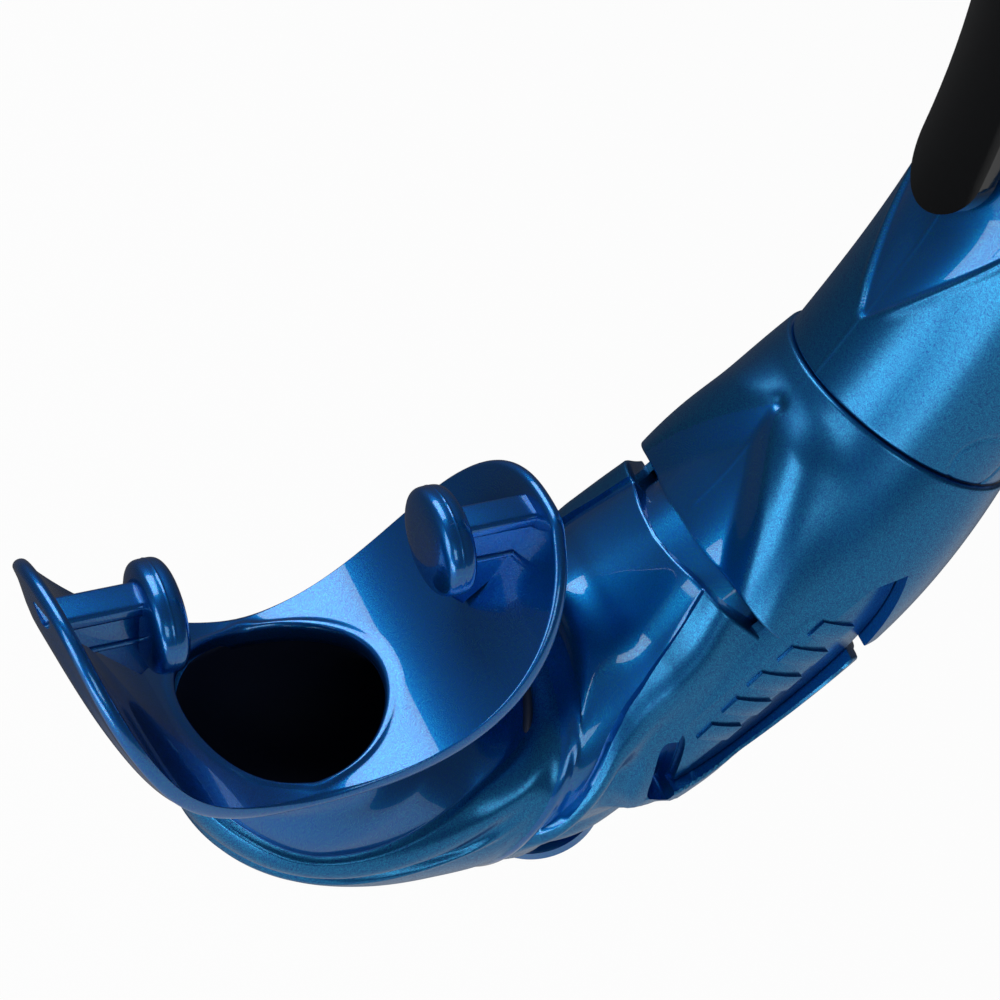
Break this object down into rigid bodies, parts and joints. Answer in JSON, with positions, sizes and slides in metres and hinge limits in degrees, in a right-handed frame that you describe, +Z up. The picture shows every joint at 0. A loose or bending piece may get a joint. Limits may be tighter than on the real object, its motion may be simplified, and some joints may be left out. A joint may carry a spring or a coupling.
{
  "type": "snorkel",
  "caption": "Curved snorkel with soft mouthpiece, purge valve, mask-strap keeper and a float-operated dry top.",
  "frame": {"origin": "on the straight tube's axis, 4 mm above the keeper, at the foot of the bare tube", "axes": "+Z up along the straight tube to the dry top; the tube bends towards -X to the mouthpiece, which opens upwards; XZ is the mirror plane"},
  "size_m": [0.1407, 0.0364, 0.408],
  "materials": {
    "pearl_blue": "metallic pearl blue, part gloss and part satin",
    "soft_blue": "pearl blue silicone, satin",
    "seal_grey": "matte",
    "duct_teal": "gloss",
    "clear_silicone": "translucent satin",
    "keeper_black": "high gloss",
    "pin_steel": "polished stainless steel",
    "signal_orange": "fluorescent satin",
    "float_white": "fine closed-cell foam skin"
  },
  "bodies": {
    "tube_body": {"swivel_seal": "seal_grey", "lower_barrel": "pearl_blue", "purge_seat": "duct_teal", "purge_guard": "keeper_black", "vent_collar": "pearl_blue", "inner_duct": "duct_teal", "duct_seals": "seal_grey", "seam_gasket": "seal_grey", "upper_tube": "pearl_blue", "side_badges": "pearl_blue", "keeper_liner": "seal_grey", "keeper_base": "keeper_black", "gate_hinge_pin": "pin_steel", "button_spring": "pin_steel", "signal_band": "signal_orange", "top_base": "keeper_black", "seat_seal": "clear_silicone", "hinge_pin": "pin_steel", "top_hood": "pearl_blue"},
    "mouthpiece_body": {"mouthpiece": "soft_blue"},
    "purge_body": {"purge_valve": "clear_silicone"},
    "gate_body": {"strap_gate": "keeper_black"},
    "button_body": {"release_button": "keeper_black"},
    "float_body": {"float_arm": "keeper_black", "flap_pad": "clear_silicone", "float_block": "float_white"}
  },
  "joints": [
    {"name": "mouthpiece_swivel", "type": "hinge", "parent": "tube_body", "child": "mouthpiece_body", "pos_m": [-0.05405, 0, -0.13988], "axis": [0.9219, 0, -0.3875], "range_deg": [-15, 15]},
    {"name": "purge_lift", "type": "slide", "parent": "tube_body", "child": "purge_body", "axis": [0.342, 0, -0.9397], "range_m": [0, 0.0009], "stiffness_N_per_m": 20, "springref_m": -0.0005},
    {"name": "gate_swing", "type": "hinge", "parent": "tube_body", "child": "gate_body", "pos_m": [-0.0212, 0, -0.0429], "axis": [0, -1, 0], "range_deg": [0, 75]},
    {"name": "button_press", "type": "slide", "parent": "tube_body", "child": "button_body", "axis": [0, 0, -1], "range_m": [0, 0.0014], "stiffness_N_per_m": 300, "springref_m": -0.001, "deforming": ["button_spring"]},
    {"name": "dry_valve", "type": "hinge", "parent": "tube_body", "child": "float_body", "pos_m": [0.0142, 0, 0.221], "axis": [0, -1, 0], "range_deg": [0, 50]}
  ]
}
